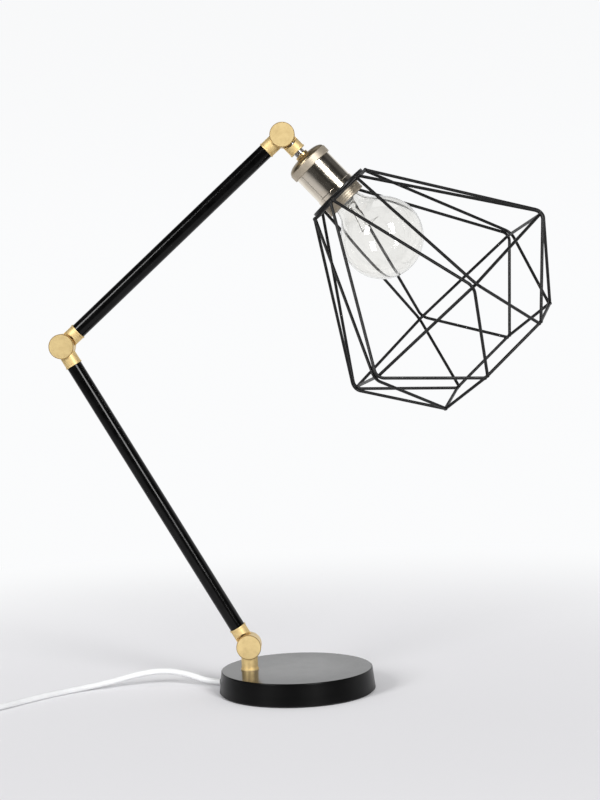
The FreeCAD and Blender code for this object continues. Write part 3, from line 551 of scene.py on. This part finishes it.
def cut_away(mesh, cutters):
    """The mesh with each cutter, a closed surface in millimetres, taken out of it."""
    blank = bpy.data.objects.new("blank", mesh)
    bpy.context.scene.collection.objects.link(blank)
    tools = [blank]
    for vertices, faces in cutters:
        tool_mesh = bpy.data.meshes.new("cutter")
        tool_mesh.from_pydata((vertices * MM).tolist(), [], faces)
        settle(tool_mesh)
        tool = bpy.data.objects.new("cutter", tool_mesh)
        bpy.context.scene.collection.objects.link(tool)
        tools.append(tool)
        cut = blank.modifiers.new("cut", "BOOLEAN")
        cut.operation = "DIFFERENCE"
        cut.solver = "EXACT"
        cut.object = tool
    graph = bpy.context.evaluated_depsgraph_get()
    result = bpy.data.meshes.new_from_object(blank.evaluated_get(graph))
    for tool in tools:
        bpy.data.objects.remove(tool)
    return result


def softened(node, width, material, body, cutters=()):
    """Copy of a CAD solid's mesh, welded and cut, with its edges rounded by a bevel."""
    mesh = bpy.data.objects[node].data.copy()
    settle(mesh)
    if cutters:
        mesh = cut_away(mesh, cutters)
        settle(mesh)
    mesh.name = node + "_soft"
    made = bpy.data.objects.new(node + "_soft", mesh)
    bevel = made.modifiers.new("rounded edges", "BEVEL")
    bevel.width = width * MM
    bevel.segments = 3
    bevel.limit_method = "ANGLE"
    bevel.angle_limit = math.radians(36.0)
    return dress(made, material, body, (node,))


# ---- cord ----
CORD_RADIUS = 3.0
# The curve runs inside its control points: a circle comes out at this share of its radius.
CURVE_SHARE = 0.99146


def coil_turns(centre, inner, pitch, layer, half_turns, per_half=12):
    """Control points of two spiral layers of half circles, clockwise from the -Y side.

    Half circle k runs from radius R(k) to R(k + 1) about a centre between them:
    P = (x0 + q cos w, y + q sin w) with w = -90 - 180 (k + t), and the sixth one climbs
    a layer by (1 - cos(180 t))/2. The radius q is divided by CURVE_SHARE.
    """
    outer = inner + half_turns * pitch / 2
    radii = [outer - k * pitch / 2 for k in range(half_turns + 1)]
    radii += radii[::-1]
    runs = []
    for k in range(len(radii) - 1):
        side = -1 if k % 2 == 0 else 1
        y0, y1 = side * radii[k], -side * radii[k + 1]
        t = np.arange(per_half) / per_half
        w = np.radians(-90.0 - 180.0 * (k + t))
        q = abs(y1 - y0) / 2 / CURVE_SHARE
        low = CORD_RADIUS if k <= half_turns else CORD_RADIUS + layer
        rise = layer if k == half_turns else 0.0
        runs.append(np.stack([centre[0] + q * np.cos(w),
                              centre[1] + (y0 + y1) / 2 + q * np.sin(w),
                              low + rise * (1 - np.cos(math.pi * t)) / 2], -1))
    return np.concatenate(runs), radii[-1]


def make_cord():
    """The white cord as one curve: past the switch, round the coil and into the plug."""
    outlet = np.array([-75.927, 27.635, 5.2])
    away = math.radians(160.0)
    outward = np.array([math.cos(away), math.sin(away), 0.0])
    lead = [outlet, outlet + outward * 15, (-108.0, 40.5, 11.0), (-131.0, 46.0, 14.6),
            (-157.0, 46.0, 12.4), (-188.0, 39.5, 5.6), (-219.0, 25.0, 3.0), (-249.0, -1.0, 3.0),
            (-275.0, -33.0, 3.0), (-294.0, -55.5, 3.6), (-314.5, -66.0, 7.0), (-334.5, -66.0, 7.0),
            (-392.5, -66.0, 7.0), (-401.5, -66.0, 7.0), (-423.5, -66.0, 3.0)]
    eye, layer = (-436.5, -21.5), 6.7
    coil, last = coil_turns(eye, 25.0, 7.8, layer, 5)
    end = np.array([eye[0] + 6.0, eye[1] + last, CORD_RADIUS + layer])
    tail = end + np.array([(-6.0, 0.0, 0.0), (0.0, 0.0, 0.0), (15.5, 0.0, 0.0), (39.0, 7.0, -3.6),
                           (58.0, 25.0, -6.7), (67.0, 49.0, -6.7), (58.0, 73.0, -6.7),
                           (37.0, 87.0, -6.1), (12.0, 92.0, -2.85), (-5.0, 92.0, -2.85)])
    points = np.concatenate([np.array(lead), coil, tail]) * MM
    data = bpy.data.curves.new("cord", "CURVE")
    data.dimensions = "3D"
    spline = data.splines.new("NURBS")
    spline.points.add(len(points) - 1)
    spline.points.foreach_set("co", np.column_stack([points, np.ones(len(points))]).ravel())
    spline.order_u = 3
    spline.use_endpoint_u = True
    spline.resolution_u = 8
    data.bevel_depth = CORD_RADIUS * MM
    data.bevel_resolution = 7
    data.use_fill_caps = True
    made = bpy.data.objects.new("cord", data)
    dress(made, SHEATH, "base", ("cord_lead", "cord_coil", "cord_tail"))
    return made, outlet * MM


cord, outlet = make_cord()
switch = softened("switch_body", 0.5, switch_shell(), "base")
rocker = softened("switch_rocker", 0.4, MATERIALS["black_plastic"], "rocker")
plug = softened("plug_body", 0.6, MATERIALS["white_plastic"], "base")


# ---- base ----
FOOT_RADIUS, TOP_RADIUS, INNER_RADIUS = 76.0, 73.5, 71.0
COVER_BOTTOM, COVER_CEILING, COVER_TOP = 1.5, 20.0, 22.5
cover_outline = rounded([(INNER_RADIUS, COVER_BOTTOM), (FOOT_RADIUS, COVER_BOTTOM), (TOP_RADIUS, COVER_TOP),
                         (0.0, COVER_TOP), (0.0, COVER_CEILING), (INNER_RADIUS, COVER_CEILING)],
                        [0.3, 0.5, 1.1, 0.0, 0.0, 0.5], closed=True)
cover = piece("base_turned", [turned(cover_outline, ORIGIN, 0.0, segments=256)], SIDE_BLACK,
              "base", ("base_cover",))

# The top face is glossier than the side; its lighter colour is a painted sheen round its middle.
cover.data.materials.append(
    base_lacquer("base_top", (0.006, 0.006, 0.006), (0.075, 0.075, 0.075), 0.13, 0.2))
normals = np.empty(len(cover.data.polygons) * 3)
cover.data.polygons.foreach_get("normal", normals)
cover.data.polygons.foreach_set("material_index", (normals[2::3] > 0.95).astype(np.int32))


# ---- arms ----
COLLAR_REACH = 21.5
TUBE_RADIUS, TUBE_BORE = 7.5, 6.5

for node, body, pivot, degrees, length in (
        ("lower_tube", "lower_arm", BASE_PIVOT, LOWER, LOWER_LENGTH),
        ("upper_tube", "upper_arm", ELBOW_PIVOT, UPPER, UPPER_LENGTH)):
    wall = rounded([(TUBE_BORE, COLLAR_REACH), (TUBE_RADIUS, COLLAR_REACH),
                    (TUBE_RADIUS, length - COLLAR_REACH), (TUBE_BORE, length - COLLAR_REACH)],
                   [0.0, 0.25, 0.25, 0.0], closed=True, steps=4)
    piece(node + "_drawn", [turned(wall, pivot, degrees, segments=128)], MATERIALS["gloss_black"], body,
          (node,))


def relief_cut(pivot, degrees, side):
    """Round pocket P(s, t) = (r cos t, y, r sin t) in a neck, clear of the disc on its other side."""
    pocket_radius, near, far = 14.0, 0.45, 12.0
    t = once_round(160)
    r = np.array([0.0, pocket_radius, pocket_radius, 0.0])[:, None]
    y = -side * np.array([near, near, far, far])[:, None]
    return patch(leaned(np.stack([r * np.cos(t), y + 0.0 * t, r * np.sin(t)], -1), pivot, degrees))


def lip_groove(pivot, degrees, start):
    """Turned groove round a neck, just inside its lip."""
    floor, outside, end = 7.7, 9.5, start + 0.4
    return turned([(floor, start), (outside, start), (outside, end), (floor, end)], pivot, degrees)


# side is -1 for the halves in front; groove is where the lip's groove starts, from the pivot.
for node, body, pivot, degrees, side, groove in (
        ("base_knuckle_front", "base", BASE_PIVOT, 180.0, -1, 19.4),
        ("base_knuckle_rear", "lower_arm", BASE_PIVOT, LOWER, 1, 19.3),
        ("elbow_front", "lower_arm", ELBOW_PIVOT, LOWER + 180.0, -1, 19.3),
        ("elbow_rear", "upper_arm", ELBOW_PIVOT, UPPER, 1, 19.3),
        ("head_knuckle_front", "upper_arm", HEAD_PIVOT, UPPER + 180.0, -1, 19.3),
        ("head_knuckle_rear", "head", HEAD_PIVOT, HEAD, 1, 19.3)):
    softened(node, 0.2, brushed_brass(node + "_brass", pivot, degrees), body,
             cutters=(relief_cut(pivot, degrees, side), lip_groove(pivot, degrees, groove)))


# ---- lampholder, upright along the head's axis ----
def head_turned(outline, radii, segments=144, steps=6):
    """Turned form on the head's axis; the outline's heights run from the head's pivot."""
    return turned(rounded(outline, radii, closed=True, steps=steps), HEAD_PIVOT, HEAD, segments=segments)


def thread(outer, pitch, depth):
    """Radius ripple of a screw thread: the groove follows z/pitch - t/(2 pi)."""
    def ripple(r, z, t):
        phase = (z / pitch - t / (2 * math.pi)) % 1.0
        cut = depth * np.abs(2 * phase - 1)
        return np.where(r > outer - 0.01, r - cut, r)
    return ripple


NIPPLE_RADIUS, NIPPLE_BORE, NIPPLE_START, NIPPLE_END = 5.15, 3.5, 12.2, 33.1
rows = np.linspace(NIPPLE_START, NIPPLE_END, 170)
nipple = np.concatenate([np.column_stack([np.full(len(rows), NIPPLE_RADIUS), rows]),
                         [(NIPPLE_BORE, NIPPLE_END), (NIPPLE_BORE, NIPPLE_START)]])
nipple_thread = thread(NIPPLE_RADIUS, 1.0, 0.5)
piece("head_nipple_threaded", [turned(nipple, HEAD_PIVOT, HEAD, segments=72, ripple=nipple_thread)],
      MATERIALS["zinc_steel"], "head", ("head_nipple",), sharp=50.0)
piece("nipple_nut_turned", [head_turned([(5.2, 25.5), (6.5, 25.5), (6.5, 28.1), (5.2, 28.1)],
                                        [0.0, 0.4, 0.4, 0.0])],
      NUT_BRASS, "head", ("nipple_nut",))

quarter = np.linspace(0.0, math.pi / 2, 20)
dome = np.column_stack([6.0 + 15.0 * np.sin(quarter), 34.3 - 6.2 * np.cos(quarter)])
cap = np.concatenate([[(5.2, 28.1)], dome,
                      rounded([(21.0, 34.3), (21.7, 34.3), (21.7, 41.5), (20.0, 41.5)],
                              [0.0, 0.35, 0.5, 0.0])[1:],
                      [(20.0, 35.9), (19.0, 34.0), (7.6, 29.7), (7.6, 33.1), (5.2, 33.1)]])
piece("socket_cap_turned", [turned(cap, HEAD_PIVOT, HEAD)], SATIN_NICKEL, "head",
      ("socket_cap",), sharp=30.0)
body_outline = [(18.15, 36.5), (19.35, 36.5), (19.35, 41.5), (20.0, 41.5), (20.0, 70.5), (20.6, 70.9),
                (20.6, 75.0), (18.3, 75.0), (18.3, 88.0), (17.1, 88.0), (17.1, 70.5), (18.15, 70.5)]
piece("socket_body_turned", [head_turned(body_outline, [0, 0, 0, 0.15, 0.15, 0.3, 0.5, 0, 0.3, 0, 0, 0])],
      NICKEL, "head", ("socket_body",), sharp=30.0)

NUT_RADIUS, NUT_BORE, NUT_START, NUT_LENGTH, NUT_GROOVES = 20.8, 18.35, 77.5, 11.1, 4
GROOVE_RADIUS = 20.35
nut_outline = [(NUT_BORE, NUT_START), (NUT_RADIUS, NUT_START)]
for k in range(NUT_GROOVES):
    z = NUT_START + NUT_LENGTH / (NUT_GROOVES + 1) * (k + 1)
    nut_outline += [(NUT_RADIUS, z - 0.45), (GROOVE_RADIUS, z - 0.15),
                    (GROOVE_RADIUS, z + 0.15), (NUT_RADIUS, z + 0.45)]
nut_outline += [(NUT_RADIUS, NUT_START + NUT_LENGTH), (NUT_BORE, NUT_START + NUT_LENGTH)]
nut_radii = [0.0, 0.6] + [0.15, 0.1, 0.1, 0.15] * NUT_GROOVES + [0.6, 0.0]
piece("ring_nut_turned", [head_turned(nut_outline, nut_radii, segments=160, steps=4)], SATIN_NICKEL,
      "head", ("ring_nut",), sharp=40.0)
piece("fitter_plate_turned", [head_turned([(18.6, 75.0), (31.5, 75.0), (31.5, 77.5), (18.6, 77.5)],
                                          [0.2, 0.5, 0.5, 0.2])],
      POWDER, "head", ("fitter_plate",))


# ---- bulb ----
NECK_END = 84.7
NECK_RADIUS, SWEEP_RADIUS, GLOBE_RADIUS, GLOBE_CENTRE = 14.0, 20.0, 40.0, 136.4
GLASS_THICKNESS = 0.8
FILAMENT_RADIUS, FILAMENT_HEIGHT = 11.0, 119.7
FIRST_HOOK, HOOK_STEP, HOOKS = 30.0, 75.0, 5


def arc(centre, radius, start, end, count):
    """Points (r, z) of a circle between two angles in radians."""
    a = np.linspace(start, end, count)
    return np.column_stack([centre[0] + radius * np.cos(a), centre[1] + radius * np.sin(a)])


def glass_wall(inset):
    """Neck, sweep and globe of one side of the glass, from the neck's end to the pole."""
    reach = NECK_RADIUS + SWEEP_RADIUS
    height = math.sqrt((GLOBE_RADIUS + SWEEP_RADIUS) ** 2 - reach ** 2)
    angle = math.atan2(height, reach)
    sweep = arc((reach, GLOBE_CENTRE - height), SWEEP_RADIUS + inset, math.pi, math.pi - angle, 14)
    globe = arc((0.0, GLOBE_CENTRE), GLOBE_RADIUS - inset, -angle, math.pi / 2, 56)
    globe[-1, 0] = 0.0
    return np.concatenate([[(NECK_RADIUS - inset, NECK_END)], sweep, globe[1:]])


glass = np.concatenate([glass_wall(0.0), glass_wall(GLASS_THICKNESS)[::-1]])
piece("bulb_globe", [turned(glass, HEAD_PIVOT, HEAD, segments=160)], GLASS, "head",
      ("bulb_glass",), sharp=60.0)


def stem_surface():
    """Glass stem P(s, t) = (r w cos t, r d sin t, z): flared foot, pinched flat, then a rod and button.

    In the pinch the width is up to 1.5 times the radius and the depth d down to 0.55 times.
    """
    flare = rounded([(11.8, NECK_END), (9.0, 87.2), (4.6, 92.0), (3.4, 96.7), (2.0, 99.0),
                     (2.0, 113.9)], 1.5)
    button = arc((0.0, 116.7), 3.0, -0.85, math.pi / 2, 16)
    outline = np.concatenate([[(0.0, NECK_END)], flare, button])
    outline[-1, 0] = 0.0
    t = once_round(48)
    r, z = outline[:, :1], outline[:, 1:]
    pinch = np.exp(-((z - 94.5) / 3.2) ** 2)
    grid = np.stack([r * (1 + 0.5 * pinch) * np.cos(t), r * (1 - 0.45 * pinch) * np.sin(t),
                     z + 0.0 * t], -1)
    return patch(leaned(grid, HEAD_PIVOT, HEAD))


piece("bulb_stem", [stem_surface()], STEM_GLASS, "head", ("bulb_mount",), sharp=60.0)


def filament_wires():
    """Filament arc with a slight sag between its hooks, five fine supports and two lead-in wires."""
    last_hook = FIRST_HOOK + HOOK_STEP * (HOOKS - 1)
    span = np.radians(np.linspace(FIRST_HOOK, last_hook, 121))
    sag = 0.5 * np.abs(np.sin((span - math.radians(FIRST_HOOK)) * 180 / HOOK_STEP))
    ring = np.stack([FILAMENT_RADIUS * np.cos(span), FILAMENT_RADIUS * np.sin(span),
                     FILAMENT_HEIGHT - sag], -1)
    parts = [rod(leaned(ring, HEAD_PIVOT, HEAD), 0.22, lean(HEAD), sides=10)]

    def spoke(degrees, stops, radius, sides, bend=0.0):
        """Wire through (distance from the axis, height) stops, in the plane at this angle."""
        a = math.radians(degrees)
        out = np.array([math.cos(a), math.sin(a), 0.0])
        path = np.array([out * distance + (0, 0, height) for distance, height in stops])
        flat = leaned(np.array([-out[1], out[0], 0.0]), ORIGIN, HEAD)
        return rod(leaned(rounded(path, bend), HEAD_PIVOT, HEAD), radius, flat, sides=sides)

    for k in range(HOOKS):
        parts.append(spoke(FIRST_HOOK + HOOK_STEP * k,
                           [(2.4, 117.2), (7.0, 118.2), (FILAMENT_RADIUS, FILAMENT_HEIGHT)], 0.14, 8))
    for degrees in (FIRST_HOOK, last_hook):
        parts.append(spoke(degrees, [(1.2, 95.0), (3.2, 100.0), (8.5, 113.5), (FILAMENT_RADIUS, 119.5)],
                           0.26, 10, bend=3.0))
    return parts


piece("bulb_wires", filament_wires(), MATERIALS["filament"], "head", ("bulb_filament",),
      sharp=60.0)


# ---- cage ----
# Radii are to the corners of each six-sided ring, drops are along the head's axis from the top ring.
CAGE_START, CAGE_TURN = 79.0, 19.2
ROD_RADIUS, RING_BEND, KNEE_BEND = 1.5, 5.0, 9.0
TOP_RING, KNEE, KNEE_DROP = 35.0, 129.3, 145.1
LOWER_RING, LOWER_DROP = 73.4, 216.4
PAIR_SHIFT = 1.6        # each rod of a pair from the corner, sideways
ROD_SPACING = 3.1       # a bent rod's middle from the wide ring's middle


def cage_point(radius, drop, position, shift=0.0):
    """Point of the cage, upright: position counts sixths of a turn, shift runs along the turn."""
    angle = math.radians(CAGE_TURN + 60.0 * position)
    towards = np.array([-math.cos(angle), -math.sin(angle), 0.0])
    sideways = np.array([math.sin(angle), -math.cos(angle), 0.0])
    return towards * radius + sideways * shift + np.array([0.0, 0.0, CAGE_START + drop])


def on_head(points):
    return leaned(np.asarray(points, float), HEAD_PIVOT, HEAD)


def cage_ring(radius, drop, first):
    """Six-sided ring; first is the place of its first corner, in sixths of a turn."""
    corners = np.array([cage_point(radius, drop, first + k) for k in range(6)])
    path = rounded(corners, RING_BEND, steps=8, closed=True)
    return rod(on_head(path), ROD_RADIUS, lean(HEAD), closed=True)


def bent_rod(vertex, side):
    """Corners of a bent rod: top ring, knee at the wide ring, lower ring."""
    end_place = vertex + 0.5 * side
    return np.array([cage_point(top_mid, 0, end_place, -side * PAIR_SHIFT),
                     cage_point(KNEE, KNEE_DROP, vertex, side * PAIR_SHIFT),
                     cage_point(lower_mid, LOWER_DROP, end_place, -side * PAIR_SHIFT)])


# A rounded corner runs inside its point by r (1/cos(w/2) - 1), with w the turn.
bend_inset = RING_BEND * (1 / math.cos(math.pi / 6) - 1)
top_mid = TOP_RING - bend_inset
lower_mid = LOWER_RING - bend_inset
start, knee, end = bent_rod(0, 1)
into, out = knee - start, end - knee
half_turn = math.acos(into @ out / np.linalg.norm(into) / np.linalg.norm(out)) / 2
knee_inset = KNEE_BEND * (1 / math.cos(half_turn) - 1)
wide_ring = KNEE - knee_inset - math.sqrt(ROD_SPACING ** 2 - PAIR_SHIFT ** 2) + bend_inset

beads = []
for number in range(12):
    vertex, side = number // 2, (-1, 1)[number % 2]
    corners = bent_rod(vertex, side)
    flat = np.cross(corners[1] - corners[0], corners[2] - corners[1])
    path = rounded(corners, KNEE_BEND, steps=10)
    name = f"cage_wire_{number + 1:02d}"
    piece(name + "_bent", [rod(on_head(path), ROD_RADIUS, leaned(flat, ORIGIN, HEAD))], POWDER, "head",
          (name,), sharp=50.0)
    touch = cage_point(KNEE - knee_inset - 1.45, KNEE_DROP, vertex, side * 1.4)
    beads += [bead(on_head(corners[0]), 1.95), bead(on_head(corners[2]), 1.95), bead(on_head(touch), 1.45)]
for name, radius, drop, first, extra in (("top_ring", TOP_RING, 0.0, 0.5, []),
                                         ("wide_ring", wide_ring, KNEE_DROP, 0, beads),
                                         ("lower_ring", LOWER_RING, LOWER_DROP, 0.5, [])):
    piece(name + "_bent", [cage_ring(radius, drop, first)] + extra, POWDER, "head", (name,),
          sharp=50.0)


# ---- floor, world and lights ----
# The table's colour paints shade at the front and light behind the lamp.
SHADED_FRONT_COLOR = (0.74, 0.736, 0.753)      # table nearest the camera
LIT_BACK_COLOR = (0.89, 0.885, 0.905)       # table behind the lamp
FAR_COLOR = (0.965, 0.97, 0.977)        # white surroundings
AMBIENT = 0.35                          # their share on matt surfaces
DIM = 0.03                              # what metal sees in front of the lamp


def make_floor():
    """Pale round floor, a polar grid, that fades into the white surroundings past a metre."""
    r = np.concatenate([[0.0], np.linspace(0.1, 1.5, 15), [3.0, 6.0, 12.0]])[:, None]
    t = once_round(96)
    vertices, faces = patch(np.stack([r * np.cos(t), r * np.sin(t), 0.0 * r * t], -1))
    mesh = bpy.data.meshes.new("floor")
    mesh.from_pydata(vertices.tolist(), [], faces)
    settle(mesh)
    floor = bpy.data.objects.new("floor", mesh)
    bpy.context.scene.collection.objects.link(floor)
    f = Finish("floor_paper", LIT_BACK_COLOR, 0.9)
    f.tree.nodes.remove(f.shader)
    x, y, _ = f.axes(f.coords)
    fade = f.spread(f.reach(x, f.math("ADD", y, 0.15)), 0.0, 1.0, 0.33, 1.1)
    paper = f.node("ShaderNodeBsdfDiffuse")
    # Painted shade and light: the paper's colour darkens towards the front and lightens behind the lamp.
    f.link(f.blend(y, SHADED_FRONT_COLOR, LIT_BACK_COLOR, -0.45, 0.45), paper.inputs["Color"])
    path = f.node("ShaderNodeLightPath").outputs
    seen = f.math("MAXIMUM", path["Is Camera Ray"], path["Is Transmission Ray"])
    behind = f.spread(f.math("ADD", y, f.math("MULTIPLY", x, 0.35)), 0.06, 0.95, -0.35, 0.5)
    glossy = f.math("MULTIPLY", path["Is Glossy Ray"], behind)
    rest = f.math("MULTIPLY", path["Is Diffuse Ray"], AMBIENT)
    glow = f.node("ShaderNodeEmission")
    glow.inputs["Color"].default_value = (*FAR_COLOR, 1.0)
    f.link(f.math("MAXIMUM", seen, f.math("MAXIMUM", glossy, rest)), glow.inputs["Strength"])
    mix = f.node("ShaderNodeMixShader")
    f.link(fade, mix.inputs["Fac"])
    f.link(paper.outputs["BSDF"], mix.inputs[1])
    f.link(glow.outputs["Emission"], mix.inputs[2])
    f.link(mix.outputs["Shader"], f.tree.nodes["Material Output"].inputs["Surface"])
    mesh.materials.append(f.material)


def make_world():
    """White surroundings for the camera; metal sees the white behind the lamp and a dim studio in front."""
    world = bpy.data.worlds.new("studio")
    bpy.context.scene.world = world
    world.use_nodes = True
    g = Graph(world.node_tree)
    x, y, z = g.axes(g.node("ShaderNodeTexCoord").outputs["Generated"])
    path = g.node("ShaderNodeLightPath").outputs
    seen = g.math("MAXIMUM", path["Is Camera Ray"], path["Is Transmission Ray"])
    behind = g.spread(g.math("ADD", y, g.math("MULTIPLY", x, 0.35)), 0.0, 1.0, 0.08, 0.5)
    below_top = g.spread(z, 1.0, 0.08, 0.34, 0.56)
    backdrop = g.math("MULTIPLY", g.math("MULTIPLY", behind, below_top), 0.9)
    glossy = g.math("MULTIPLY", path["Is Glossy Ray"], g.math("ADD", backdrop, DIM))
    camera = g.math("MULTIPLY", seen, g.spread(z, 1.0, 0.975, 0.0, 0.16))
    rest = g.math("MULTIPLY", path["Is Diffuse Ray"], AMBIENT)
    background = g.tree.nodes["Background"]
    background.inputs["Color"].default_value = (*FAR_COLOR, 1.0)
    g.link(g.math("MAXIMUM", camera, g.math("MAXIMUM", glossy, rest)), background.inputs["Strength"])


def softbox(name, azimuth, elevation, distance, width, height, radiance):
    """Area light aimed at the lamp; azimuth 0 is the camera's side, +90 is to its right."""
    a, e = math.radians(azimuth), math.radians(elevation)
    away = Vector((math.sin(a) * math.cos(e), -math.cos(a) * math.cos(e), math.sin(e)))
    data = bpy.data.lights.new(name, "AREA")
    data.shape = "RECTANGLE"
    data.size, data.size_y = width, height
    data.energy = radiance * math.pi * width * height
    light = bpy.data.objects.new(name, data)
    light.location = Vector((0.0, 0.0, 0.25)) + away * distance
    light.rotation_mode = "QUATERNION"
    light.rotation_quaternion = away.to_track_quat("Z", "Y")
    light.visible_camera = False
    bpy.context.scene.collection.objects.link(light)


make_floor()
make_world()
softbox("right_box", azimuth=28.0, elevation=24.0, distance=4.5, width=1.2, height=2.2, radiance=18.0)
softbox("left_box", azimuth=-44.0, elevation=22.0, distance=4.5, width=1.16, height=1.8, radiance=19.0)
softbox("top_box", azimuth=165.0, elevation=70.0, distance=3.3, width=2.7, height=2.1, radiance=0.6)

bpy.context.scene.view_settings.view_transform = "Standard"
